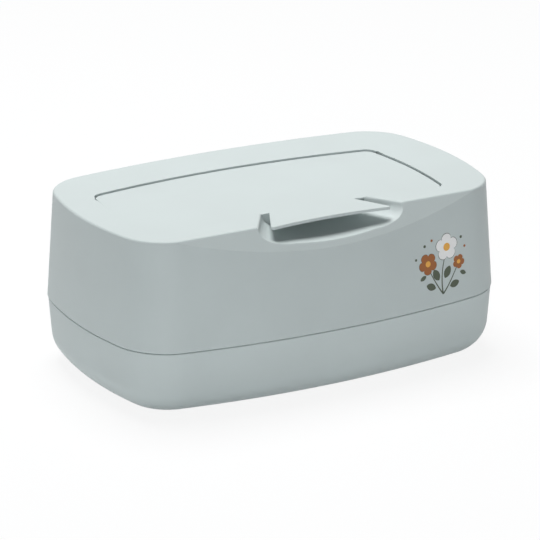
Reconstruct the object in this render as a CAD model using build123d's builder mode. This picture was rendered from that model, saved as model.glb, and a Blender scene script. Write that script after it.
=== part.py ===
from build123d import *
import os
from math import cos, radians, sin, sqrt

# Lidded box for a stack of wet wipes. A rounded tub stands on four rubber feet, a tall cover lifts off it,
# and a flap lid with a flared finger tongue closes the recess in the cover's top. A weighted plate with a
# slot lies on the wipes and sinks with them.
#
# Millimetres. The origin is on the table below the middle of the box. +X is the box's right as seen from
# the front, -Y is the front, where the tongue and the finger scoop are, and +Z is up.

# The box as a whole
height = 107.6
seam_height = 42.0
wall = 2.4
foot_stand = 0.8

# Outline of the cover at its foot, on the seam: four bowed sides and rounded corners
foot_half_length = 130.0
foot_half_depth = 83.0
foot_end_bulge = 10.5
foot_side_bulge = 13.5
foot_corner_radius = 36.3

# Outline of the cover at its top, which stands inside the outline at its foot
top_inset_at_ends = 3.6
top_inset_at_sides = 7.4
top_end_bulge = 11.7
top_side_bulge = 9.3
top_corner_radius = 32.0
top_edge_radius = 1.6
cover_foot_chamfer = 0.6

# Flat facet that takes a crescent off the front of the top edge
facet_top_y = -68.2
facet_lean = 29.3

# Flap lid, and the recess in the cover that it lies in: bowed back and ends, and a front that arches inwards
lid_centre_x = -7.6
lid_end_margin = 28.2
lid_back_y = 39.6
lid_front_y = -45.2
lid_widest_y = -12.8
lid_end_radius = 250.0
lid_back_radius = 510.0
lid_front_radius = 440.0
lid_corner_radius = 6.5
lid_sink = 0.9
lid_gap = 0.8
lid_plate = 2.0
lid_skirt_wall = 1.8
lid_skirt_depth = 7.6
lid_edge_radius = 0.5
recess_depth = 25.0

# Middle of the tongue, the finger scoop and the finger pocket
grip_x = 1.5

# Tongue at the front of the lid
tongue_root_half_width = 28.0
tongue_root_y = -45.5
tongue_hidden_y = -40.0
tongue_tip_half_width = 40.5
tongue_tip_y = -72.2
tongue_tip_hollow = 2.8
tongue_thickness = 1.8
tongue_corner_radius = 1.4

# Finger scoop in front of the lid, open to the front wall
scoop_back_half_width = 32.0
scoop_back_y = -44.0
scoop_back_depth = 8.4
scoop_front_half_width = 54.2
scoop_front_y = -78.0
scoop_front_depth = 14.8
scoop_flat_share = 0.5
scoop_side_share = 0.87
scoop_overrun = 8.0

# Finger pocket below the tongue, behind the lip of the scoop
pocket_front_half_width = 44.0
pocket_back_half_width = 32.0
pocket_back_y = -52.4
pocket_front_y = -71.0
pocket_front_bulge = 1.4
pocket_depth = 24.0
pocket_corner_radius = 9.0
pocket_floor_radius = 7.0
crest_radius = 2.5

# Hinge of the lid: a pin at each side, pressed into the lid and turning in a blind socket of the cover
hinge_y = 20.0
hinge_drop = 3.2
lid_opening = 105.0
pin_radius = 1.5
pin_running_gap = 0.05
pin_in_lid = 6.0
pin_in_cover = 3.4
pin_end_gap = 0.3
lid_boss_radius = 3.0
socket_boss_radius = 4.0
socket_end_wall = 1.6
hinge_relief_radius = 6.5
hinge_relief_depth = 0.3

# Dispensing neck in the floor of the recess, and the seal ring in the lid that closes it
neck_half_length = 66.0
neck_front_y = -34.0
neck_stop_gap = 0.3
neck_corner_radius = 18.0
neck_wall = 2.2
seal_width = 4.4
seal_height = 3.0
seal_rib = 1.4
seal_rib_height = 2.0
seal_rib_gap = 0.1

# Tub
tub_step_in = 0.5
tub_draft = 4.2
tub_floor_radius = 20.0
tub_rim_chamfer = 0.4
shadow_gap = 0.5
shadow_gap_depth = 1.2
upstand_height = 7.0
upstand_wall = 1.8
upstand_gap = 0.4
upstand_root = 8.0

# Rubber feet
foot_radius = 7.0
foot_recess = 1.0
foot_x = 82.0
foot_y = 38.0
foot_chamfer = 0.3

# Press plate: a moulded top with the dispensing slot, two steel weights and a clip-in back
plate_half_length = 98.0
plate_half_depth = 51.0
plate_corner_radius = 14.0
plate_skin = 2.0
plate_side_wall = 2.0
plate_height = 8.0
plate_edge_radius = 1.5
plate_back_skin = 1.6
plate_back_gap = 0.2
slot_half_length = 46.0
slot_end_radius = 9.0
slot_waist_half_depth = 5.0
slot_blend_radius = 6.0
slot_wall = 2.0
weight_half_length = 17.0
weight_half_depth = 38.0
weight_corner_radius = 3.0
weight_rib = 1.2
weight_rib_height = 2.5
weight_gap = 0.3
weight_x = 76.0


def crossing(centre_a, radius_a, centre_b, radius_b):
    """Point where two circles cross, to the right of the way from the first centre to the second."""
    between = centre_b - centre_a
    span = between.length
    along = (radius_a ** 2 - radius_b ** 2 + span ** 2) / (2 * span)
    across = sqrt(radius_a ** 2 - along ** 2)
    return centre_a + between * (along / span) + Vector(between.Y, -between.X) * (across / span)


def bulged_rectangle(half_length, half_depth, end_bulge, side_bulge, corner_radius, z, grow):
    """Rectangle at height z whose sides bow outwards and whose corners are rounded, grown by grow."""
    side_radius = ((half_length - end_bulge) ** 2 + side_bulge ** 2) / (2 * side_bulge)
    end_radius = ((half_depth - side_bulge) ** 2 + end_bulge ** 2) / (2 * end_bulge)
    side_centre = Vector(0, half_depth - side_radius)
    end_centre = Vector(half_length - end_radius, 0)
    corner = crossing(side_centre, side_radius + grow, end_centre, end_radius + grow)
    x, y = corner.X, corner.Y
    with BuildSketch(Plane.XY.offset(z)) as outline:
        with BuildLine():
            ThreePointArc((-x, -y), (0, -half_depth - grow), (x, -y))
            ThreePointArc((x, -y), (half_length + grow, 0), (x, y))
            ThreePointArc((x, y), (0, half_depth + grow), (-x, y))
            ThreePointArc((-x, y), (-half_length - grow, 0), (-x, -y))
        make_face()
        fillet(outline.vertices(), corner_radius + grow)
    return outline.sketch


def foot_outline(grow, z=seam_height):
    """Outline of the cover at the seam."""
    return bulged_rectangle(
        foot_half_length, foot_half_depth, foot_end_bulge, foot_side_bulge, foot_corner_radius, z, grow
    )


def top_outline(grow):
    """Outline of the cover at its top."""
    return bulged_rectangle(
        top_half_length, top_half_depth, top_end_bulge, top_side_bulge, top_corner_radius, height, grow
    )


def lid_outline(grow, z):
    """Outline of the flap lid without its tongue, grown by grow."""
    back_centre = Vector(0, lid_back_y - lid_back_radius)
    front_centre = Vector(0, lid_front_y - lid_front_radius)
    end_centre = Vector(lid_half_length - lid_end_radius, lid_widest_y)
    back = crossing(back_centre, lid_back_radius + grow, end_centre, lid_end_radius + grow)
    front = crossing(front_centre, lid_front_radius - grow, end_centre, lid_end_radius + grow)
    with BuildSketch(Plane((lid_centre_x, 0, z))) as outline:
        with BuildLine():
            ThreePointArc((-back.X, back.Y), (0, lid_back_y + grow), (back.X, back.Y))
            ThreePointArc((back.X, back.Y), (lid_half_length + grow, lid_widest_y), (front.X, front.Y))
            ThreePointArc((front.X, front.Y), (0, lid_front_y - grow), (-front.X, front.Y))
            ThreePointArc((-front.X, front.Y), (-lid_half_length - grow, lid_widest_y), (-back.X, back.Y))
        make_face()
        fillet(outline.vertices(), lid_corner_radius + grow)
    return outline.sketch


def facet_plane(inset):
    """Plane of the front facet, moved inwards by inset, with its normal pointing out of the box."""
    normal = Vector(0, -cos(radians(facet_lean)), sin(radians(facet_lean)))
    return Plane(origin=Vector(0, facet_top_y, height) - normal * inset, x_dir=(1, 0, 0), z_dir=normal)


def scoop_profile(y, half_width, depth):
    """Cross-section of the scoop on the upright plane at y: a shallow U with elliptical sides."""
    flat = half_width * scoop_flat_share
    side_depth = depth * scoop_side_share
    above = height + scoop_overrun
    with BuildSketch(Plane((grip_x, y, 0), x_dir=(1, 0, 0), z_dir=(0, -1, 0))) as profile:
        with BuildLine():
            Line((flat, above), (-flat, above))
            Line((-flat, above), (-half_width, above))
            Line((-half_width, above), (-half_width, height))
            EllipticalCenterArc((-flat, height), half_width - flat, side_depth, 180, arc_size=90)
            ThreePointArc((-flat, height - side_depth), (0, height - depth), (flat, height - side_depth))
            EllipticalCenterArc((flat, height), half_width - flat, side_depth, 270, arc_size=90)
            Line((half_width, height), (half_width, above))
            Line((half_width, above), (flat, above))
        make_face()
    return profile.sketch


def scoop_sections(grow):
    """Front and back cross-sections of the scoop, run on past the front wall."""
    run = (scoop_front_half_width - scoop_back_half_width) / (scoop_back_y - scoop_front_y)
    fall = (scoop_front_depth - scoop_back_depth) / (scoop_back_y - scoop_front_y)
    front_half_width = scoop_front_half_width + run * scoop_overrun
    front_depth = scoop_front_depth + fall * scoop_overrun
    return [
        scoop_profile(scoop_front_y - scoop_overrun, front_half_width + grow, front_depth + grow),
        scoop_profile(scoop_back_y, scoop_back_half_width + grow, scoop_back_depth + grow),
    ]


def pocket_outline(grow):
    """Plan of the finger pocket at its floor, grown by grow."""
    back_x = pocket_back_half_width + grow
    back_y = pocket_back_y + grow
    front_x = pocket_front_half_width + grow
    front_y = pocket_front_y - grow
    corner_y = front_y + pocket_front_bulge
    with BuildSketch(Plane((grip_x, 0, height - pocket_depth - grow))) as outline:
        with BuildLine():
            Line((-back_x, back_y), (back_x, back_y))
            Line((back_x, back_y), (front_x, corner_y))
            ThreePointArc((front_x, corner_y), (0, front_y), (-front_x, corner_y))
            Line((-front_x, corner_y), (-back_x, back_y))
        make_face()
        fillet(outline.vertices(), pocket_corner_radius)
    return outline.sketch


def wall_outline(z, grow):
    """Outline of the cover's drafted wall at height z, between its foot and its top."""
    rise = (z - seam_height) / (height - seam_height)
    return bulged_rectangle(
        foot_half_length + rise * (top_half_length - foot_half_length),
        foot_half_depth + rise * (top_half_depth - foot_half_depth),
        foot_end_bulge + rise * (top_end_bulge - foot_end_bulge),
        foot_side_bulge + rise * (top_side_bulge - foot_side_bulge),
        foot_corner_radius + rise * (top_corner_radius - foot_corner_radius),
        z,
        grow,
    )


def upstand_sections(foot, grow):
    """Foot and top outlines of the tub's upstand, parallel to the cover's wall."""
    return [wall_outline(foot, grow), wall_outline(seam_height + upstand_height, grow)]


def neck_outline(grow, z):
    """Outline of the dispensing neck."""
    with BuildSketch(Plane((lid_centre_x, neck_centre_y, z))) as outline:
        RectangleRounded(
            2 * (neck_half_length + grow), 2 * (neck_half_depth + grow), neck_corner_radius + grow
        )
    return outline.sketch


def slot_outline(grow, z):
    """Dispensing slot of the press plate: a narrow waist between two round ends."""
    with BuildSketch(Plane.XY.offset(z)) as outline:
        with Locations((-slot_centre_x, 0), (slot_centre_x, 0)):
            Circle(slot_end_radius + grow)
        Rectangle(2 * slot_centre_x, 2 * (slot_waist_half_depth + grow))
        waist_corners = [
            corner for corner in outline.vertices()
            if abs(abs(corner.Y) - slot_waist_half_depth - grow) < 0.01
        ]
        fillet(waist_corners, slot_blend_radius - grow)
    return outline.sketch


def scoop_lip(part):
    """Edges along which the scoop breaks out through the front facet."""
    facet = facet_plane(0.0)
    return [
        edge for edge in part.edges()
        if abs((edge @ 0.5 - facet.origin).dot(facet.z_dir)) < 0.001
        and height - scoop_front_depth < (edge @ 0.5).Z < height - 0.1
        and abs((edge @ 0.5).X - grip_x) < scoop_front_half_width
    ]


def pocket_crest(part):
    """Edges along which the finger pocket breaks out through the scoop."""
    return [
        edge for edge in part.edges()
        if pocket_front_y - 0.1 < (edge @ 0.5).Y < pocket_back_y + 0.1
        and abs((edge @ 0.5).X - grip_x) < pocket_front_half_width
        and height - pocket_depth + pocket_floor_radius + 0.1 < (edge @ 0.5).Z < height - top_edge_radius
        and abs((edge % 0.5).Z) < 0.8
    ]


def at_hinge(side, x):
    """Plane across the hinge axis, x from the lid's middle on the given side, facing outwards."""
    return Plane(origin=(lid_centre_x + side * x, hinge_y, hinge_z), x_dir=(0, 1, 0), z_dir=(side, 0, 0))


top_half_length = foot_half_length - top_inset_at_ends
top_half_depth = foot_half_depth - top_inset_at_sides
lid_half_length = top_half_length - lid_end_margin
lid_top = height - lid_sink
lid_under = lid_top - lid_plate
recess_floor = height - recess_depth
neck_top = lid_under - seal_height
hinge_z = lid_top - hinge_drop
hinge_side = lid_half_length - lid_end_radius + sqrt(lid_end_radius ** 2 - (hinge_y - lid_widest_y) ** 2)
socket_face = hinge_side + lid_gap

# The open lid comes to rest with the foot of its back skirt against the neck
back_reach = lid_back_y - hinge_y
skirt_reach = lid_skirt_depth - hinge_drop
stop_reach = skirt_reach * sin(radians(lid_opening)) - back_reach * cos(radians(lid_opening))
neck_back_y = hinge_y - stop_reach - neck_stop_gap
neck_half_depth = (neck_back_y - neck_front_y) / 2
neck_centre_y = (neck_back_y + neck_front_y) / 2

tub_top = seam_height - shadow_gap
tub_floor = foot_stand + wall
plate_top = tub_floor + plate_height
weight_top = plate_top - plate_skin
slot_centre_x = slot_half_length - slot_end_radius

os.makedirs("parts", exist_ok=True)

# Space that stays empty between the cover's walls, its recess and its finger pocket
with BuildPart() as hollow:
    loft([foot_outline(-wall), top_outline(-wall)], ruled=True)
    split(bisect_by=Plane.XY.offset(height - wall), keep=Keep.BOTTOM)
    split(bisect_by=facet_plane(wall), keep=Keep.BOTTOM)
    extrude(lid_outline(lid_gap + wall, height), amount=-(recess_depth + wall), mode=Mode.SUBTRACT)
    loft(scoop_sections(wall), ruled=True, mode=Mode.SUBTRACT)
    extrude(pocket_outline(wall), amount=pocket_depth + wall, mode=Mode.SUBTRACT)
    for side in (-1, 1):
        with BuildSketch(at_hinge(side, socket_face)):
            Circle(socket_boss_radius)
        extrude(amount=pin_in_cover + pin_end_gap + socket_end_wall, mode=Mode.SUBTRACT)

with BuildPart() as pocket:
    extrude(pocket_outline(0.0), amount=pocket_depth)
    fillet(pocket.faces().sort_by(Axis.Z)[0].edges(), pocket_floor_radius)

# Cover: drafted shell with the front facet, the scoop, the lid's recess, the neck and the hinge sockets
with BuildPart() as cover:
    chamfer_top = wall_outline(seam_height + cover_foot_chamfer, 0.0)
    loft([foot_outline(-cover_foot_chamfer), chamfer_top, top_outline(0.0)], ruled=True)
    split(bisect_by=facet_plane(0.0), keep=Keep.BOTTOM)
    loft(scoop_sections(0.0), ruled=True, mode=Mode.SUBTRACT)
    rim = cover.faces().sort_by(Axis.Z)[-1].edges()
    notch_back = rim.filter_by(lambda edge: abs((edge @ 0.5).Y - scoop_back_y) < 0.001)
    fillet([edge for edge in rim if edge not in notch_back] + scoop_lip(cover), top_edge_radius)
    add(pocket.part, mode=Mode.SUBTRACT)
    fillet(pocket_crest(cover), crest_radius)
    add(hollow.part, mode=Mode.SUBTRACT)
    extrude(lid_outline(lid_gap, height), amount=-recess_depth, mode=Mode.SUBTRACT)
    extrude(neck_outline(0.0, recess_floor), amount=neck_top - recess_floor)
    extrude(neck_outline(-neck_wall, neck_top), amount=-(neck_top - recess_floor + wall), mode=Mode.SUBTRACT)
    for side in (-1, 1):
        with BuildSketch(at_hinge(side, hinge_side)):
            Circle(hinge_relief_radius)
        extrude(amount=lid_gap + hinge_relief_depth, mode=Mode.SUBTRACT)
        with BuildSketch(at_hinge(side, hinge_side)):
            Circle(pin_radius + pin_running_gap)
        extrude(amount=lid_gap + pin_in_cover + pin_end_gap, mode=Mode.SUBTRACT)
cover.part.label = "cover"
export_step(cover.part, "parts/cover.step")

# Flap lid: a shallow tray upside down, with the tongue, the hinge bosses and the ribs that hold the seal
with BuildPart() as flap_lid:
    extrude(lid_outline(0.0, lid_top), amount=-lid_skirt_depth)
    extrude(
        lid_outline(-lid_skirt_wall, lid_under), amount=-(lid_skirt_depth - lid_plate), mode=Mode.SUBTRACT
    )
    with BuildSketch(Plane((grip_x, 0, lid_top))) as tongue:
        with BuildLine():
            Line((-tongue_tip_half_width, tongue_tip_y), (-tongue_root_half_width, tongue_root_y))
            Line((-tongue_root_half_width, tongue_root_y), (-tongue_root_half_width, tongue_hidden_y))
            Line((-tongue_root_half_width, tongue_hidden_y), (tongue_root_half_width, tongue_hidden_y))
            Line((tongue_root_half_width, tongue_hidden_y), (tongue_root_half_width, tongue_root_y))
            Line((tongue_root_half_width, tongue_root_y), (tongue_tip_half_width, tongue_tip_y))
            ThreePointArc(
                (tongue_tip_half_width, tongue_tip_y),
                (0, tongue_tip_y + tongue_tip_hollow),
                (-tongue_tip_half_width, tongue_tip_y),
            )
        make_face()
        fillet(tongue.vertices().group_by(Axis.Y)[0], tongue_corner_radius)
    extrude(amount=-tongue_thickness)
    fillet(flap_lid.faces().sort_by(Axis.Z)[-1].edges(), lid_edge_radius)
    seal_room = seal_width / 2 + seal_rib_gap
    for grow in (-neck_wall / 2 - seal_room, -neck_wall / 2 + seal_room + seal_rib):
        extrude(
            neck_outline(grow, lid_under) - neck_outline(grow - seal_rib, lid_under),
            amount=-seal_rib_height,
        )
    for side in (-1, 1):
        with BuildSketch(at_hinge(side, hinge_side - lid_skirt_wall / 2)):
            Circle(lid_boss_radius)
        extrude(amount=-(pin_in_lid + lid_skirt_wall / 2))
        with BuildSketch(at_hinge(side, hinge_side + lid_gap / 2)):
            Circle(pin_radius)
        extrude(amount=-(pin_in_lid + lid_gap / 2), mode=Mode.SUBTRACT)
flap_lid.part.label = "flap_lid"
export_step(flap_lid.part, "parts/flap_lid.step")

# Seal ring: sits between the lid's two ribs and closes on the neck's edge
with BuildPart() as lid_seal:
    extrude(
        neck_outline((seal_width - neck_wall) / 2, neck_top)
        - neck_outline(-(seal_width + neck_wall) / 2, neck_top),
        amount=seal_height,
    )
lid_seal.part.label = "lid_seal"
export_step(lid_seal.part, "parts/lid_seal.step")

# Hinge pins
for name, side in (("left", -1), ("right", 1)):
    with BuildPart() as hinge_pin:
        with BuildSketch(at_hinge(side, hinge_side - pin_in_lid)):
            Circle(pin_radius)
        extrude(amount=pin_in_lid + lid_gap + pin_in_cover)
    hinge_pin.part.label = f"{name}_hinge_pin"
    export_step(hinge_pin.part, f"parts/{name}_hinge_pin.step")

# Tub: drafted walls with a large floor radius, a shadow gap below the cover and an upstand inside it
with BuildPart() as tub_hollow:
    extrude(foot_outline(-tub_step_in - wall, tub_top), amount=-(tub_top - tub_floor), taper=tub_draft)
    fillet(tub_hollow.faces().sort_by(Axis.Z)[0].edges(), tub_floor_radius - wall)

with BuildPart() as base_tub:
    extrude(foot_outline(-tub_step_in, tub_top), amount=-(tub_top - foot_stand), taper=tub_draft)
    fillet(base_tub.faces().sort_by(Axis.Z)[0].edges(), tub_floor_radius)
    chamfer(base_tub.faces().sort_by(Axis.Z)[-1].edges(), tub_rim_chamfer)
    add(tub_hollow.part, mode=Mode.SUBTRACT)
    extrude(foot_outline(-tub_step_in - shadow_gap_depth), amount=-upstand_root)
    loft(upstand_sections(seam_height, -wall - upstand_gap), ruled=True)
    loft(
        upstand_sections(seam_height - upstand_root, -wall - upstand_gap - upstand_wall),
        ruled=True,
        mode=Mode.SUBTRACT,
    )
    with BuildSketch(Plane.XY.offset(foot_stand)):
        with GridLocations(2 * foot_x, 2 * foot_y, 2, 2):
            Circle(foot_radius)
    extrude(amount=foot_recess, mode=Mode.SUBTRACT)
base_tub.part.label = "base_tub"
export_step(base_tub.part, "parts/base_tub.step")

# Rubber feet, pressed into round recesses of the tub
for row, y in (("front", -foot_y), ("back", foot_y)):
    for column, x in (("left", -foot_x), ("right", foot_x)):
        with BuildPart() as foot:
            with BuildSketch(Plane((x, y, 0))):
                Circle(foot_radius)
            extrude(amount=foot_stand + foot_recess)
            chamfer(foot.faces().sort_by(Axis.Z)[0].edges(), foot_chamfer)
        foot.part.label = f"{row}_{column}_foot"
        export_step(foot.part, f"parts/{row}_{column}_foot.step")

# Press plate: moulded top with its dispensing slot
with BuildPart() as press_plate:
    with BuildSketch(Plane.XY.offset(tub_floor)):
        RectangleRounded(2 * plate_half_length, 2 * plate_half_depth, plate_corner_radius)
    extrude(amount=plate_height)
    fillet(press_plate.faces().sort_by(Axis.Z)[-1].edges(), plate_edge_radius)
    with BuildSketch(Plane.XY.offset(tub_floor)):
        RectangleRounded(
            2 * (plate_half_length - plate_side_wall),
            2 * (plate_half_depth - plate_side_wall),
            plate_corner_radius - plate_side_wall,
        )
        add(slot_outline(slot_wall, 0), mode=Mode.SUBTRACT)
    extrude(amount=plate_height - plate_skin, mode=Mode.SUBTRACT)
    with BuildSketch(Plane.XY.offset(weight_top)):
        with Locations((-weight_x, 0), (weight_x, 0)):
            RectangleRounded(
                2 * (weight_half_length + weight_gap + weight_rib),
                2 * (weight_half_depth + weight_gap + weight_rib),
                weight_corner_radius + weight_gap + weight_rib,
            )
            RectangleRounded(
                2 * (weight_half_length + weight_gap),
                2 * (weight_half_depth + weight_gap),
                weight_corner_radius + weight_gap,
                mode=Mode.SUBTRACT,
            )
    extrude(amount=-weight_rib_height)
    extrude(slot_outline(0, tub_floor), amount=plate_height, mode=Mode.SUBTRACT)
press_plate.part.label = "press_plate"
export_step(press_plate.part, "parts/press_plate.step")

# Back of the press plate, clipped in below the weights
with BuildPart() as plate_back:
    with BuildSketch(Plane.XY.offset(tub_floor)):
        RectangleRounded(
            2 * (plate_half_length - plate_side_wall - plate_back_gap),
            2 * (plate_half_depth - plate_side_wall - plate_back_gap),
            plate_corner_radius - plate_side_wall - plate_back_gap,
        )
        add(slot_outline(slot_wall + plate_back_gap, 0), mode=Mode.SUBTRACT)
    extrude(amount=plate_back_skin)
plate_back.part.label = "plate_back"
export_step(plate_back.part, "parts/plate_back.step")

# Steel weights of the press plate
for name, side in (("left", -1), ("right", 1)):
    with BuildPart() as weight:
        with BuildSketch(Plane((side * weight_x, 0, tub_floor + plate_back_skin))):
            RectangleRounded(2 * weight_half_length, 2 * weight_half_depth, weight_corner_radius)
        extrude(amount=weight_top - tub_floor - plate_back_skin)
    weight.part.label = f"{name}_plate_weight"
    export_step(weight.part, f"parts/{name}_plate_weight.step")
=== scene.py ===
import logging
import math
from collections.abc import Callable
from dataclasses import dataclass, field
from enum import Enum

import bmesh
import bpy
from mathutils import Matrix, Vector
from mathutils.bvhtree import BVHTree


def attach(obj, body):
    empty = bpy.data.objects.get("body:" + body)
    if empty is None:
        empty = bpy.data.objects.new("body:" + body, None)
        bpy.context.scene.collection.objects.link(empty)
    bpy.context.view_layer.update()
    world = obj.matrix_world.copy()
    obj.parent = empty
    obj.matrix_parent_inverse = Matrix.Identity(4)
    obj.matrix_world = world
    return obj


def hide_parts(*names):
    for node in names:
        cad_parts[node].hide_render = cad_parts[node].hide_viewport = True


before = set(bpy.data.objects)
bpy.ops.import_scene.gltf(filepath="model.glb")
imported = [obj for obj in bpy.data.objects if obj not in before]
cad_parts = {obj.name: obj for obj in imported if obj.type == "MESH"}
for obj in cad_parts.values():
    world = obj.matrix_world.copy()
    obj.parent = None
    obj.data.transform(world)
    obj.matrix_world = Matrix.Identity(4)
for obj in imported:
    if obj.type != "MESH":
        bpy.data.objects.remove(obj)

log = logging.getLogger("wipes_box")
MILLIMETRE = 0.001
Colour = tuple[float, float, float]
Triple = tuple[float, float, float]

# Values between which most of the noise lies
NOISE_LOW = 0.3
NOISE_HIGH = 0.7

# Middle of the tongue and of the finger scoop along the box, in millimetres
GRIP_X = 1.5


class Body(Enum):
    """Rigid bodies of the box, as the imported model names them."""

    TUB = "tub"
    COVER = "cover"
    FLAP = "flap"
    PLATE = "plate"


class Slot(Enum):
    """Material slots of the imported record."""

    TUB = "tub_plastic"
    COVER = "cover_plastic"
    LID = "lid_plastic"
    PLATE = "plate_plastic"
    FOOT = "foot_rubber"
    SEAL = "seal_rubber"
    STEEL = "steel"


class Ink(Enum):
    """Inks of the print on the cover, each with its name and its layer above the plastic."""

    OUTLINE = ("outline", 1)
    GREEN = ("green", 2)
    BROWN = ("brown", 3)
    WHITE = ("white", 3)
    MUSTARD = ("mustard", 4)

    @property
    def label(self) -> str:
        """Returns the name that the ink's piece and material start with."""
        return self.value[0]

    @property
    def layer(self) -> int:
        """Returns the layer, counted from the plastic."""
        return self.value[1]


class Outline(Enum):
    """Outlines of the printed shapes."""

    BLOSSOM = "blossom"
    LEAF = "leaf"
    DOT = "dot"


class Graph:
    """Node tree of one new material, with short calls that add and join nodes."""

    def __init__(self, name: str) -> None:
        """Makes the material with its principled shader.

        Args:
            name: Name of the material.
        """
        self.material = bpy.data.materials.new(name)
        self.material.use_nodes = True
        self.tree = self.material.node_tree
        self.shader = self.tree.nodes["Principled BSDF"]

    def add(self, kind: str, settings: dict[str, object] | None = None, **inputs: object) -> bpy.types.Node:
        """Adds a node.

        Args:
            kind: Blender's type name of the node.
            settings: Attributes of the node itself.
            **inputs: Input sockets by name, an underscore standing for a space, with a value or a socket.

        Returns:
            The new node.
        """
        node = self.tree.nodes.new(kind)
        for key, value in (settings or {}).items():
            setattr(node, key, value)
        for key, value in inputs.items():
            self.feed(node.inputs[key.replace("_", " ")], value)
        return node

    def feed(self, socket: bpy.types.NodeSocket, value: object) -> None:
        """Sets a socket to a value, or joins it to another socket.

        Args:
            socket: The input socket.
            value: A plain value, or the output socket that feeds it.
        """
        if isinstance(value, bpy.types.NodeSocket):
            self.tree.links.new(value, socket)
        else:
            socket.default_value = value

    def place(self) -> bpy.types.NodeSocket:
        """Returns the piece's own coordinates, in metres."""
        return self.add("ShaderNodeTexCoord").outputs["Object"]

    def noise(self, scale: float, detail: float, roughness: float = 0.5) -> bpy.types.NodeSocket:
        """Adds three-dimensional noise.

        Args:
            scale: Lumps per metre.
            detail: Octaves of finer noise.
            roughness: Share that each finer octave keeps.

        Returns:
            The socket that holds the noise, about 0.5 on average.
        """
        texture = self.add(
            "ShaderNodeTexNoise", Vector=self.place(), Scale=scale, Detail=detail, Roughness=roughness
        )
        return texture.outputs["Fac"]

    def spread(self, source: bpy.types.NodeSocket, low: float, high: float) -> bpy.types.NodeSocket:
        """Stretches the middle of a noise over a range of values.

        Args:
            source: The noise.
            low: Value at the noise's low side.
            high: Value at the noise's high side.

        Returns:
            The socket with the new value.
        """
        node = self.add("ShaderNodeMapRange", Value=source)
        node.inputs["From Min"].default_value = NOISE_LOW
        node.inputs["From Max"].default_value = NOISE_HIGH
        node.inputs["To Min"].default_value = low
        node.inputs["To Max"].default_value = high
        return node.outputs["Result"]

    def tint(self, source: bpy.types.NodeSocket, dark: Colour, light: Colour) -> bpy.types.NodeSocket:
        """Mixes two colours by a noise.

        Args:
            source: The noise.
            dark: Colour at the noise's low side.
            light: Colour at the noise's high side.

        Returns:
            The socket with the mixed colour.
        """
        node = self.add("ShaderNodeMix", {"data_type": "RGBA"})
        self.feed(node.inputs["Factor"], self.spread(source, 0.0, 1.0))
        self.feed(node.inputs["A"], (*dark, 1.0))
        self.feed(node.inputs["B"], (*light, 1.0))
        return node.outputs["Result"]

    def bump(self, height: bpy.types.NodeSocket, depth: float) -> bpy.types.NodeSocket:
        """Turns a height into a bumped normal.

        Args:
            height: Height from 0 to 1.
            depth: Height in metres that 1 stands for.

        Returns:
            The socket with the normal.
        """
        node = self.add("ShaderNodeBump", Height=height, Distance=depth)
        return node.outputs["Normal"]


@dataclass(frozen=True)
class MouldedPlastic:
    """Injection-moulded plastic with a fine eroded texture and faint flow marks."""

    name: str
    colour: Colour
    variation: float = 0.02
    roughness: float = 0.52
    specular: float = 0.35
    roughness_spread: float = 0.05
    grain_scale: float = 2600.0
    grain_detail: float = 2.0
    grain_depth: float = 0.012 * MILLIMETRE
    flow_scale: float = 22.0
    flow_detail: float = 3.0

    def material(self) -> bpy.types.Material:
        """Makes the material.

        Returns:
            The material, ready to be given to a piece.
        """
        graph = Graph(self.name)
        flow = graph.noise(self.flow_scale, self.flow_detail)
        dark = tuple(channel * (1 - self.variation) for channel in self.colour)
        light = tuple(channel * (1 + self.variation) for channel in self.colour)
        graph.feed(graph.shader.inputs["Base Color"], graph.tint(flow, dark, light))
        grain = graph.noise(self.grain_scale, self.grain_detail)
        low = self.roughness - self.roughness_spread
        high = self.roughness + self.roughness_spread
        graph.feed(graph.shader.inputs["Roughness"], graph.spread(flow, low, high))
        graph.feed(graph.shader.inputs["Normal"], graph.bump(grain, self.grain_depth))
        graph.shader.inputs["Specular IOR Level"].default_value = self.specular
        return graph.material


@dataclass(frozen=True)
class SoftRubber:
    """Matte rubber or silicone with a faint mottled bloom."""

    name: str
    colour: Colour
    dark_share: float = 0.93
    light_share: float = 1.05
    roughness: float = 0.72
    roughness_spread: float = 0.1
    mottle_scale: float = 240.0
    mottle_detail: float = 5.0
    mottle_roughness: float = 0.62
    grain_depth: float = 0.02 * MILLIMETRE

    def material(self) -> bpy.types.Material:
        """Makes the material.

        Returns:
            The material, ready to be given to a piece.
        """
        graph = Graph(self.name)
        mottle = graph.noise(self.mottle_scale, self.mottle_detail, self.mottle_roughness)
        dark = tuple(channel * self.dark_share for channel in self.colour)
        light = tuple(min(1.0, channel * self.light_share) for channel in self.colour)
        graph.feed(graph.shader.inputs["Base Color"], graph.tint(mottle, dark, light))
        roughness = graph.spread(mottle, self.roughness, self.roughness + self.roughness_spread)
        graph.feed(graph.shader.inputs["Roughness"], roughness)
        graph.feed(graph.shader.inputs["Normal"], graph.bump(mottle, self.grain_depth))
        return graph.material


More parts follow.
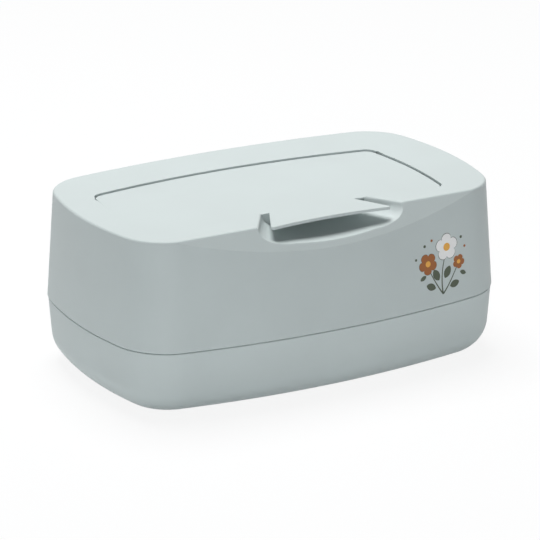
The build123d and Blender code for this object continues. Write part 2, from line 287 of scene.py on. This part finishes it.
@dataclass(frozen=True)
class BrushedSteel:
    """Cold-drawn steel with fine lines along X."""

    name: str
    colour: Colour
    dark_share: float = 0.86
    roughness: float = 0.34
    roughness_spread: float = 0.12
    line_scale: Triple = (40.0, 3200.0, 3200.0)
    line_detail: float = 3.0
    line_depth: float = 0.006 * MILLIMETRE

    def material(self) -> bpy.types.Material:
        """Makes the material.

        Returns:
            The material, ready to be given to a piece.
        """
        graph = Graph(self.name)
        stretched = graph.add("ShaderNodeMapping", Vector=graph.place(), Scale=self.line_scale)
        lines = graph.add(
            "ShaderNodeTexNoise", Vector=stretched.outputs["Vector"], Scale=1.0, Detail=self.line_detail
        )
        dark = tuple(channel * self.dark_share for channel in self.colour)
        graph.feed(graph.shader.inputs["Base Color"], graph.tint(lines.outputs["Fac"], dark, self.colour))
        roughest = self.roughness + self.roughness_spread
        roughness = graph.spread(lines.outputs["Fac"], self.roughness, roughest)
        graph.feed(graph.shader.inputs["Roughness"], roughness)
        graph.feed(graph.shader.inputs["Normal"], graph.bump(lines.outputs["Fac"], self.line_depth))
        graph.shader.inputs["Metallic"].default_value = 1.0
        return graph.material


@dataclass(frozen=True)
class PrintInk:
    """Opaque screen-printing ink, thin enough to show the plastic's grain."""

    name: str
    colour: Colour
    worn_share: float = 0.96
    roughness: float = 0.5
    roughness_spread: float = 0.06
    grain_scale: float = 2600.0
    grain_detail: float = 2.0
    grain_depth: float = 0.01 * MILLIMETRE

    def material(self) -> bpy.types.Material:
        """Makes the material.

        Returns:
            The material, ready to be given to a piece.
        """
        graph = Graph(self.name)
        grain = graph.noise(self.grain_scale, self.grain_detail)
        worn = tuple(channel * self.worn_share for channel in self.colour)
        graph.feed(graph.shader.inputs["Base Color"], graph.tint(grain, worn, self.colour))
        roughness = graph.spread(grain, self.roughness, self.roughness + self.roughness_spread)
        graph.feed(graph.shader.inputs["Roughness"], roughness)
        graph.feed(graph.shader.inputs["Normal"], graph.bump(grain, self.grain_depth))
        return graph.material


def new_piece(name: str, bm: bmesh.types.BMesh, body: Body, material: bpy.types.Material) -> bpy.types.Object:
    """Makes a piece from a finished bmesh and lets it ride on a body.

    Args:
        name: Name of the piece.
        bm: Its shape, in metres, in the frame of the box. It is freed here.
        body: Body that the piece moves with.
        material: Its finish.

    Returns:
        The new object.
    """
    mesh = bpy.data.meshes.new(name)
    bm.to_mesh(mesh)
    bm.free()
    mesh.materials.append(material)
    piece = bpy.data.objects.new(name, mesh)
    bpy.context.scene.collection.objects.link(piece)
    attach(piece, body.value)
    return piece


def add_shape(bm: bmesh.types.BMesh, shape: bmesh.types.BMesh) -> None:
    """Adds a shape to a bmesh.

    Args:
        bm: The bmesh that gets the shape.
        shape: The shape, which is freed here.
    """
    mesh = bpy.data.meshes.new("added_shape")
    shape.to_mesh(mesh)
    shape.free()
    bm.from_mesh(mesh)
    bpy.data.meshes.remove(mesh)


@dataclass(frozen=True)
class ScoopForm:
    """Form of the finger scoop, in millimetres: a shallow U with elliptical sides."""

    front_depth: float
    back_depth: float
    back_flat_share: float
    front_flat_share: float = 0.5
    middle_x: float = GRIP_X
    top: float = 107.6
    front_y: float = -78.0
    back_y: float = -44.0
    front_half_width: float = 54.2
    back_half_width: float = 32.0
    side_share: float = 0.87
    edge_inset: float = 0.01

    def between(self, y: float, front: float, back: float) -> float:
        """Returns the value at y between its values at the front and back."""
        return front + (back - front) * (y - self.front_y) / (self.back_y - self.front_y)

    def half_width(self, y: float) -> float:
        """Returns half the scoop's width at y."""
        return self.between(y, self.front_half_width, self.back_half_width)

    def depth(self, x: float, y: float) -> float:
        """Gives the depth of the scoop below the cover's top.

        Args:
            x: Place along the box.
            y: Place across the box.

        Returns:
            The depth, which beside the scoop is that just inside its edge.
        """
        half_width = self.half_width(y)
        depth = self.between(y, self.front_depth, self.back_depth)
        front_flat = self.front_half_width * self.front_flat_share
        flat = self.between(y, front_flat, self.back_half_width * self.back_flat_share)
        away = min(abs(x - self.middle_x), half_width - self.edge_inset)
        if away < flat:
            return depth * (1.0 - (1.0 - self.side_share) * (away / flat) ** 2)
        along = (away - flat) / (half_width - flat)
        return depth * self.side_share * math.sqrt(1.0 - along ** 2)


@dataclass(frozen=True)
class ScoopFit:
    """Gives the cover's copy the scoop's fine form: a higher lip and a smooth floor, in millimetres."""

    solid_form: ScoopForm = ScoopForm(front_depth=14.8, back_depth=8.4, back_flat_share=0.5)
    fine_form: ScoopForm = ScoopForm(front_depth=12.8, back_depth=10.5, back_flat_share=0.7)
    facet_top_y: float = -68.2
    facet_lean: float = math.radians(29.3)
    edge_angle: float = math.radians(40.0)
    pocket_middle: Triple = (GRIP_X, -61.0, 83.6)
    facet_margin: float = 1.3
    side_margin: float = 2.5
    plane_tolerance: float = 0.002
    floor_tolerance: float = 0.02
    slide_start_y: float = -60.0
    slide_full_y: float = -70.0
    patch_edge: float = 3.0
    patch_rounds: int = 5

    def apply(self, bm: bmesh.types.BMesh) -> None:
        """Closes the pocket in the scoop's floor and moves the scoop to its fine form.

        Args:
            bm: Copy of the cover's mesh, joined, in metres.
        """
        bmesh.ops.scale(bm, verts=bm.verts, vec=(1.0 / MILLIMETRE,) * 3)
        bm.normal_update()
        middle = Vector(self.pocket_middle)
        seed = min(bm.faces, key=lambda face: (face.calc_center_median() - middle).length)
        scoop = self.reached(seed, lambda face: not self.is_outside(face))
        pocket = self.reached(seed, lambda face: face in scoop and self.is_pocket(face))
        moved = {vert for face in scoop - pocket for vert in face.verts}
        patch = self.floor_patch(pocket)
        bmesh.ops.delete(bm, geom=list(pocket), context="FACES")
        for vert in [*moved, *patch.verts]:
            self.move(vert)
        add_shape(bm, patch)
        bmesh.ops.remove_doubles(bm, verts=bm.verts, dist=self.plane_tolerance)
        bmesh.ops.scale(bm, verts=bm.verts, vec=(MILLIMETRE,) * 3)

    def reached(
        self, seed: bmesh.types.BMFace, is_in: Callable[[bmesh.types.BMFace], bool]
    ) -> set[bmesh.types.BMFace]:
        """Spreads from a face over rounded edges.

        Args:
            seed: The first face.
            is_in: Says whether a face belongs to the region.

        Returns:
            The faces of the region.
        """
        region = {seed}
        waiting = [seed]
        while waiting:
            for edge in waiting.pop().edges:
                if edge.calc_face_angle(math.pi) > self.edge_angle:
                    continue
                for face in edge.link_faces:
                    if face not in region and is_in(face):
                        region.add(face)
                        waiting.append(face)
        return region

    def facet_height(self, point: Vector) -> float:
        """Returns the height of a point over the plane of the front facet, outwards."""
        across = -math.cos(self.facet_lean) * (point.y - self.facet_top_y)
        return across + math.sin(self.facet_lean) * (point.z - self.solid_form.top)

    def is_outside(self, face: bmesh.types.BMFace) -> bool:
        """Says whether a face lies on the cover's top, on its front facet or beside the scoop.

        Args:
            face: The face.

        Returns:
            True where the face is no part of the scoop.
        """
        centre = face.calc_center_median()
        heights = [self.solid_form.top - vert.co.z for vert in face.verts]
        on_top = max(heights) < self.plane_tolerance
        on_facet = max(abs(self.facet_height(vert.co)) for vert in face.verts) < self.plane_tolerance
        reach = self.solid_form.half_width(centre.y) + self.side_margin
        return on_top or on_facet or abs(centre.x - self.solid_form.middle_x) > reach

    def is_pocket(self, face: bmesh.types.BMFace) -> bool:
        """Says whether a face lies below the scoop's floor, away from its lip.

        Args:
            face: The face.

        Returns:
            True where the face is part of the pocket.
        """
        centre = face.calc_center_median()
        floor = self.solid_form.top - self.solid_form.depth(centre.x, centre.y)
        return floor - centre.z > self.floor_tolerance and self.facet_height(centre) < -self.facet_margin

    def floor_patch(self, pocket: set[bmesh.types.BMFace]) -> bmesh.types.BMesh:
        """Makes the smooth piece of floor that closes the pocket.

        Args:
            pocket: Faces of the pocket.

        Returns:
            The floor inside the pocket's rim, on the scoop's solid form.
        """
        patch = bmesh.new()
        rim = [edge for face in pocket for edge in face.edges if set(edge.link_faces) - pocket]
        twins = {vert: patch.verts.new(vert.co) for vert in {vert for edge in rim for vert in edge.verts}}
        edges = [patch.edges.new([twins[vert] for vert in edge.verts]) for edge in rim]
        bmesh.ops.triangle_fill(patch, use_beauty=True, edges=edges, normal=(0.0, 0.0, 1.0))
        for _ in range(self.patch_rounds):
            inner = [edge for edge in patch.edges if not edge.is_boundary]
            long_edges = [edge for edge in inner if edge.calc_length() > self.patch_edge]
            bmesh.ops.subdivide_edges(patch, edges=long_edges, cuts=1)
            bmesh.ops.triangulate(patch, faces=patch.faces[:])
            inner = [edge for edge in patch.edges if not edge.is_boundary]
            bmesh.ops.beautify_fill(patch, faces=patch.faces[:], edges=inner)
            for vert in patch.verts:
                if not vert.is_boundary:
                    vert.co.z = self.solid_form.top - self.solid_form.depth(vert.co.x, vert.co.y)
        return patch

    def move(self, vert: bmesh.types.BMVert) -> None:
        """Moves a point of the scoop to its fine form, along the facet where it is near the lip.

        Args:
            vert: The point.
        """
        solid = self.solid_form.depth(vert.co.x, vert.co.y)
        fine = self.fine_form.depth(vert.co.x, vert.co.y)
        rise = (self.solid_form.top - vert.co.z) * (1.0 - fine / solid)
        share = (self.slide_start_y - vert.co.y) / (self.slide_start_y - self.slide_full_y)
        vert.co.z += rise
        vert.co.y += rise * math.tan(self.facet_lean) * min(1.0, max(0.0, share))


@dataclass(frozen=True)
class TongueFit:
    """Draws the tongue's tip in a little and hollows it, in millimetres."""

    middle_x: float = GRIP_X
    root_y: float = -46.0
    tip_y: float = -72.2
    tip_half_width: float = 40.5
    draw_in: float = 1.8
    extra_hollow: float = 0.8

    def apply(self, bm: bmesh.types.BMesh) -> None:
        """Moves the tongue's points.

        Args:
            bm: Copy of the lid's mesh, joined, in metres.
        """
        for vert in bm.verts:
            share = (self.root_y - vert.co.y / MILLIMETRE) / (self.root_y - self.tip_y)
            if share > 0.0:
                off = (vert.co.x / MILLIMETRE - self.middle_x) / self.tip_half_width
                hollow = self.extra_hollow * (1.0 - off ** 2) * share
                vert.co.y += share * (self.draw_in + hollow) * MILLIMETRE


@dataclass
class Moulding:
    """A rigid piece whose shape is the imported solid's, smooth-shaded up to its real edges."""

    node: str
    body: Body
    slot: Slot
    finish: MouldedPlastic | SoftRubber | BrushedSteel
    crease: float = math.radians(32.0)
    fit: ScoopFit | TongueFit | None = None
    merge_distance: float = 0.0005 * MILLIMETRE

    def build(self) -> bpy.types.Object:
        """Copies the solid's mesh, joins its triangles and marks its edges.

        Returns:
            The piece that is shown in place of the solid.
        """
        bm = bmesh.new()
        bm.from_mesh(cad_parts[self.node].data)
        bmesh.ops.remove_doubles(bm, verts=bm.verts, dist=self.merge_distance)
        if self.fit:
            self.fit.apply(bm)
            bm.normal_update()
        for face in bm.faces:
            face.smooth = True
        for edge in bm.edges:
            edge.smooth = edge.is_manifold and edge.calc_face_angle(0.0) < self.crease
        piece = new_piece(f"{self.node}_body", bm, self.body, self.finish.material())
        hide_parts(self.node)
        shading = piece.modifiers.new("even shading", "WEIGHTED_NORMAL")
        shading.keep_sharp = True
        return piece


@dataclass(frozen=True)
class Mark:
    """One printed shape, placed in millimetres from the middle of the print."""

    outline: Outline
    ink: Ink
    across: float
    up: float
    reach: float
    slimness: float = 1.0
    turn: float = 0.0
    petals: int = 5
    rim_points: int = 60
    petal_depth: float = 0.3
    petal_roundness: float = 0.6
    leaf_point: float = 0.5

    def flat(self) -> bmesh.types.BMesh:
        """Draws the shape on the print's plane.

        Returns:
            The shape as one flat face, in millimetres.
        """
        bm = bmesh.new()
        bmesh.ops.create_circle(bm, cap_ends=True, segments=self.rim_points, radius=1.0)
        turn = math.radians(self.turn)
        for vert in bm.verts:
            angle = math.atan2(vert.co.y, vert.co.x)
            along, aside = self.rim(angle)
            vert.co.x = self.across + self.reach * (along * math.cos(turn) - aside * math.sin(turn))
            vert.co.y = self.up + self.reach * (along * math.sin(turn) + aside * math.cos(turn))
        return bm

    def rim(self, angle: float) -> tuple[float, float]:
        """Gives the shape's rim at an angle round its middle.

        Args:
            angle: Angle in radians.

        Returns:
            Place along and across the shape, where the shape reaches 1.
        """
        radius = 1.0
        if self.outline is Outline.BLOSSOM:
            lobe = abs(math.cos(self.petals * angle / 2)) ** self.petal_roundness
            radius = 1.0 - self.petal_depth * (1.0 - lobe)
        along = radius * math.cos(angle)
        aside = radius * math.sin(angle) * self.slimness
        if self.outline is Outline.LEAF:
            aside *= abs(math.sin(angle)) ** self.leaf_point
        return along, aside


@dataclass(frozen=True)
class Stem:
    """One printed stem, a bowed line that thins towards its end, in millimetres."""

    start: tuple[float, float]
    bow: tuple[float, float]
    end: tuple[float, float]
    ink: Ink = Ink.GREEN
    foot_width: float = 0.9
    tip_width: float = 0.5
    lengths: int = 16

    def flat(self) -> bmesh.types.BMesh:
        """Draws the stem on the print's plane.

        Returns:
            The stem as a row of flat faces, in millimetres.
        """
        bm = bmesh.new()
        half_unit = 0.5
        bmesh.ops.create_grid(bm, x_segments=self.lengths, y_segments=1, size=half_unit)
        start, bow, end = (Vector(point) for point in (self.start, self.bow, self.end))
        for vert in bm.verts:
            share = vert.co.x + half_unit
            middle = start * (1 - share) ** 2 + bow * 2 * share * (1 - share) + end * share ** 2
            heading = ((bow - start) * (1 - share) + (end - bow) * share).normalized()
            width = self.foot_width + (self.tip_width - self.foot_width) * share
            side = Vector((-heading.y, heading.x)) * vert.co.y * width
            vert.co.x, vert.co.y = middle.x + side.x, middle.y + side.y
        return bm


@dataclass
class NurseryPrint:
    """Small printed bunch of blossoms on the right of the cover's front wall."""

    middle: tuple[float, float] = (0.074, 0.0675)
    layer_height: float = 0.03 * MILLIMETRE
    rooting: float = 0.1 * MILLIMETRE
    rim_angle: float = math.radians(50.0)
    mark_cuts: int = 2
    ray_start_y: float = -1.0
    colours: dict[Ink, Colour] = field(default_factory=lambda: {
        Ink.OUTLINE: (0.085, 0.10, 0.08),
        Ink.GREEN: (0.075, 0.095, 0.06),
        Ink.BROWN: (0.35, 0.115, 0.025),
        Ink.WHITE: (0.95, 0.95, 0.94),
        Ink.MUSTARD: (0.86, 0.44, 0.075),
    })
    marks: list[Mark | Stem] = field(default_factory=lambda: [
        Stem((0.0, -18.5), (-2.0, -6.0), (3.0, 6.0)),
        Stem((0.0, -18.5), (-5.0, -12.0), (-10.0, -2.0)),
        Stem((0.0, -18.5), (5.0, -14.0), (11.5, -3.0)),
        Mark(Outline.LEAF, Ink.GREEN, -4.6, -6.2, 3.9, 0.62, 118.0),
        Mark(Outline.LEAF, Ink.GREEN, 3.7, -5.8, 3.9, 0.62, 58.0),
        Mark(Outline.LEAF, Ink.GREEN, -8.8, -12.6, 3.6, 0.6, 158.0),
        Mark(Outline.LEAF, Ink.GREEN, 8.9, -14.0, 3.6, 0.6, 14.0),
        Mark(Outline.LEAF, Ink.GREEN, -14.4, -6.4, 2.4, 0.55, 205.0),
        Mark(Outline.LEAF, Ink.GREEN, 15.6, -8.4, 2.4, 0.55, -25.0),
        Mark(Outline.BLOSSOM, Ink.OUTLINE, 3.6, 9.4, 8.35, turn=18.0),
        Mark(Outline.BLOSSOM, Ink.WHITE, 3.6, 9.4, 8.0, turn=18.0),
        Mark(Outline.DOT, Ink.MUSTARD, 3.6, 9.4, 2.4),
        Mark(Outline.BLOSSOM, Ink.OUTLINE, -10.6, 1.6, 6.75, turn=50.0),
        Mark(Outline.BLOSSOM, Ink.BROWN, -10.6, 1.6, 6.5, turn=50.0),
        Mark(Outline.DOT, Ink.MUSTARD, -10.6, 1.6, 1.8),
        Mark(Outline.BLOSSOM, Ink.BROWN, 12.4, -1.2, 4.4, turn=-10.0),
        Mark(Outline.DOT, Ink.MUSTARD, 12.4, -1.2, 1.3),
        Mark(Outline.DOT, Ink.GREEN, -12.6, 12.6, 0.9),
        Mark(Outline.DOT, Ink.BROWN, -7.4, 15.2, 0.8),
        Mark(Outline.DOT, Ink.GREEN, 14.6, 13.4, 0.9),
        Mark(Outline.DOT, Ink.BROWN, 17.2, 7.4, 0.8),
        Mark(Outline.DOT, Ink.GREEN, -19.2, 5.6, 0.8),
    ])

    def build(self) -> list[bpy.types.Object]:
        """Prints every mark in its ink.

        Returns:
            One piece for each ink.
        """
        bm = bmesh.new()
        bm.from_mesh(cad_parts["cover"].data)
        wall = BVHTree.FromBMesh(bm)
        bm.free()
        pieces = []
        for ink, colour in self.colours.items():
            shapes = bmesh.new()
            for mark in self.marks:
                if mark.ink is ink:
                    self.press(mark, wall, shapes)
            bmesh.ops.recalc_face_normals(shapes, faces=shapes.faces)
            for face in shapes.faces:
                face.smooth = True
            for edge in shapes.edges:
                edge.smooth = edge.calc_face_angle(0.0) < self.rim_angle
            finish = PrintInk(f"{ink.label}_ink", colour)
            piece = new_piece(f"{ink.label}_print", shapes, Body.COVER, finish.material())
            pieces.append(piece)
        return pieces

    def press(self, mark: Mark | Stem, wall: BVHTree, shapes: bmesh.types.BMesh) -> None:
        """Gives a mark its thickness and lays it on the wall.

        Args:
            mark: The mark.
            wall: The cover's surface.
            shapes: The ink's shapes so far, to which the mark is added.
        """
        bm = mark.flat()
        if isinstance(mark, Mark):
            bmesh.ops.poke(bm, faces=bm.faces)
        bmesh.ops.subdivide_edges(bm, edges=bm.edges, cuts=self.mark_cuts, use_grid_fill=True)
        raised = bmesh.ops.extrude_face_region(bm, geom=bm.faces[:])["geom"]
        top = {item for item in raised if isinstance(item, bmesh.types.BMVert)}
        for vert in bm.verts:
            height = mark.ink.layer * self.layer_height if vert in top else -self.rooting
            across = self.middle[0] + vert.co.x * MILLIMETRE
            up = self.middle[1] + vert.co.y * MILLIMETRE
            start = Vector((across, self.ray_start_y, up))
            place, normal, _, _ = wall.ray_cast(start, Vector((0.0, 1.0, 0.0)))
            vert.co = place + normal * height
        add_shape(shapes, bm)


@dataclass(frozen=True)
class Viewpoint:
    """The photograph's viewpoint, worked out from the outlines of the box."""

    azimuth: float = math.radians(-29.304)
    elevation: float = math.radians(19.263)
    distance: float = 1.94207
    lens: float = 215.46
    sensor: float = 36.0
    target: Triple = (-0.00036, 0.0, 0.05312)
    clip_end: float = 20.0

    def build(self) -> None:
        """Makes the camera and gives it to the scene."""
        camera_data = bpy.data.cameras.new("photograph_view")
        camera_data.lens = self.lens
        camera_data.sensor_width = self.sensor
        camera_data.clip_end = self.clip_end
        camera = bpy.data.objects.new("photograph_view", camera_data)
        back = Vector((
            math.sin(self.azimuth) * math.cos(self.elevation),
            -math.cos(self.azimuth) * math.cos(self.elevation),
            math.sin(self.elevation),
        ))
        camera.location = Vector(self.target) + back * self.distance
        camera.rotation_euler = (-back).to_track_quat("-Z", "Y").to_euler()
        bpy.context.scene.collection.objects.link(camera)
        bpy.context.scene.camera = camera


@dataclass(frozen=True)
class Softbox:
    """One soft lamp."""

    name: str
    place: Triple
    size: float
    power: float
    colour: Colour = (1.0, 1.0, 1.0)
    aim: Triple = (0.0, 0.0, 0.05)

    def build(self) -> None:
        """Makes the lamp and turns it to the box."""
        lamp_data = bpy.data.lights.new(self.name, "AREA")
        lamp_data.shape = "DISK"
        lamp_data.size = self.size
        lamp_data.energy = self.power
        lamp_data.color = self.colour
        lamp = bpy.data.objects.new(self.name, lamp_data)
        lamp.location = self.place
        towards = Vector(self.aim) - Vector(self.place)
        lamp.rotation_euler = towards.to_track_quat("-Z", "Y").to_euler()
        bpy.context.scene.collection.objects.link(lamp)


@dataclass
class Studio:
    """White floor, white surroundings and two soft lamps."""

    floor_radius: float = 6.0
    floor_segments: int = 96
    floor_roughness: float = 0.9
    floor_colour: Colour = (0.95, 0.96, 0.97)
    floor_lift: float = 0.88
    ambient_colour: Colour = (0.93, 0.97, 1.0)
    ambient_strength: float = 0.10
    lamps: list[Softbox] = field(default_factory=lambda: [
        Softbox("overhead", (0.0, 0.4, 1.67), 1.0, 29.0),
        Softbox("front", (-1.2, -1.9, 0.3), 1.0, 14.0, (0.96, 0.985, 1.0)),
    ])

    def build(self) -> None:
        """Makes the floor, the world and the lamps."""
        self.build_floor()
        self.build_world()
        for lamp in self.lamps:
            lamp.build()
        bpy.context.scene.view_settings.view_transform = "Standard"

    def build_floor(self) -> None:
        """Makes the round floor, which stays white around the shadow."""
        bm = bmesh.new()
        bmesh.ops.create_circle(bm, cap_ends=True, segments=self.floor_segments, radius=self.floor_radius)
        mesh = bpy.data.meshes.new("floor")
        bm.to_mesh(mesh)
        bm.free()
        floor = bpy.data.objects.new("floor", mesh)
        bpy.context.scene.collection.objects.link(floor)
        graph = Graph("floor_paper")
        graph.feed(graph.shader.inputs["Base Color"], (*self.floor_colour, 1.0))
        graph.shader.inputs["Roughness"].default_value = self.floor_roughness
        seen = self.seen_directly(graph)
        share = graph.add("ShaderNodeMath", {"operation": "MULTIPLY"})
        graph.feed(share.inputs[0], seen)
        graph.feed(share.inputs[1], self.floor_lift)
        glow = graph.add("ShaderNodeEmission", Color=(1.0, 1.0, 1.0, 1.0), Strength=1.0)
        mixed = graph.add("ShaderNodeMixShader", Fac=share.outputs["Value"])
        graph.feed(mixed.inputs[1], graph.shader.outputs["BSDF"])
        graph.feed(mixed.inputs[2], glow.outputs["Emission"])
        graph.feed(graph.tree.nodes["Material Output"].inputs["Surface"], mixed.outputs["Shader"])
        mesh.materials.append(graph.material)

    def build_world(self) -> None:
        """Makes the surroundings: white where they are seen, and a soft even light elsewhere."""
        world = bpy.data.worlds.new("white_surroundings")
        world.use_nodes = True
        bpy.context.scene.world = world
        tree = world.node_tree
        tree.nodes.clear()
        seen = self.seen_directly(tree)
        light = tree.nodes.new("ShaderNodeBackground")
        light.inputs["Color"].default_value = (*self.ambient_colour, 1.0)
        light.inputs["Strength"].default_value = self.ambient_strength
        white = tree.nodes.new("ShaderNodeBackground")
        mixed = tree.nodes.new("ShaderNodeMixShader")
        output = tree.nodes.new("ShaderNodeOutputWorld")
        white.inputs["Color"].default_value = (1.0, 1.0, 1.0, 1.0)
        tree.links.new(seen, mixed.inputs["Fac"])
        tree.links.new(light.outputs["Background"], mixed.inputs[1])
        tree.links.new(white.outputs["Background"], mixed.inputs[2])
        tree.links.new(mixed.outputs["Shader"], output.inputs["Surface"])

    @staticmethod
    def seen_directly(owner: Graph | bpy.types.NodeTree) -> bpy.types.NodeSocket:
        """Adds a switch that is 1 for what the camera sees, directly or in a reflection.

        Args:
            owner: The graph or node tree that gets the switch.

        Returns:
            The socket with the switch.
        """
        tree = owner.tree if isinstance(owner, Graph) else owner
        path = tree.nodes.new("ShaderNodeLightPath")
        either = path.outputs["Is Camera Ray"]
        for ray in ("Is Glossy Ray", "Is Transmission Ray"):
            joined = tree.nodes.new("ShaderNodeMath")
            joined.operation = "MAXIMUM"
            tree.links.new(either, joined.inputs[0])
            tree.links.new(path.outputs[ray], joined.inputs[1])
            either = joined.outputs["Value"]
        return either


SAGE: Colour = (0.575, 0.637, 0.632)
OFF_WHITE: Colour = (0.80, 0.82, 0.81)
STEEL_GREY: Colour = (0.58, 0.59, 0.60)


@dataclass
class Tub:
    """The lower shell and its four rubber feet."""

    colour: Colour = SAGE
    foot_colour: Colour = (0.42, 0.44, 0.44)

    def build(self) -> list[bpy.types.Object]:
        """Makes the shell and the feet.

        Returns:
            The pieces.
        """
        plastic = MouldedPlastic("tub_plastic", self.colour)
        pieces = [Moulding("base_tub", Body.TUB, Slot.TUB, plastic).build()]
        for row in ("front", "back"):
            for column in ("left", "right"):
                rubber = SoftRubber(f"{row}_{column}_rubber", self.foot_colour)
                pieces.append(Moulding(f"{row}_{column}_foot", Body.TUB, Slot.FOOT, rubber).build())
        return pieces


@dataclass
class Cover:
    """The upper shell with its recess, neck, scoop and print."""

    colour: Colour = SAGE
    facet_crease: float = math.radians(20.0)

    def build(self) -> list[bpy.types.Object]:
        """Makes the shell and its print.

        Returns:
            The pieces.
        """
        plastic = MouldedPlastic("cover_plastic", self.colour)
        shell = Moulding("cover", Body.COVER, Slot.COVER, plastic, self.facet_crease, ScoopFit())
        return [shell.build(), *NurseryPrint().build()]


@dataclass
class Flap:
    """The lid with its tongue, seal and hinge pins."""

    colour: Colour = SAGE
    seal_colour: Colour = (0.80, 0.82, 0.80)

    def build(self) -> list[bpy.types.Object]:
        """Makes the lid, its seal and its pins.

        Returns:
            The pieces.
        """
        plastic = MouldedPlastic("lid_plastic", self.colour)
        pieces = [
            Moulding("flap_lid", Body.FLAP, Slot.LID, plastic, fit=TongueFit()).build(),
            Moulding("lid_seal", Body.FLAP, Slot.SEAL, SoftRubber("seal_silicone", self.seal_colour)).build(),
        ]
        for side in ("left", "right"):
            steel = BrushedSteel(f"{side}_pin_steel", STEEL_GREY)
            pieces.append(Moulding(f"{side}_hinge_pin", Body.FLAP, Slot.STEEL, steel).build())
        return pieces


@dataclass
class PressPlate:
    """The weighted plate that lies on the wipes."""

    colour: Colour = OFF_WHITE

    def build(self) -> list[bpy.types.Object]:
        """Makes the plate, its back and its weights.

        Returns:
            The pieces.
        """
        top = MouldedPlastic("plate_plastic", self.colour)
        back = MouldedPlastic("plate_back_plastic", self.colour)
        pieces = [
            Moulding("press_plate", Body.PLATE, Slot.PLATE, top).build(),
            Moulding("plate_back", Body.PLATE, Slot.PLATE, back).build(),
        ]
        for side in ("left", "right"):
            steel = BrushedSteel(f"{side}_weight_steel", STEEL_GREY)
            pieces.append(Moulding(f"{side}_plate_weight", Body.PLATE, Slot.STEEL, steel).build())
        return pieces


def main() -> None:
    """Builds the box and its studio, and logs the face count of each piece."""
    logging.basicConfig(level=logging.INFO)
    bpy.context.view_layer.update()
    Viewpoint().build()
    Studio().build()
    for assembly in (Tub(), Cover(), Flap(), PressPlate()):
        for piece in assembly.build():
            log.info("%s has %d faces", piece.name, len(piece.data.polygons))


if __name__ == "__main__":
    main()
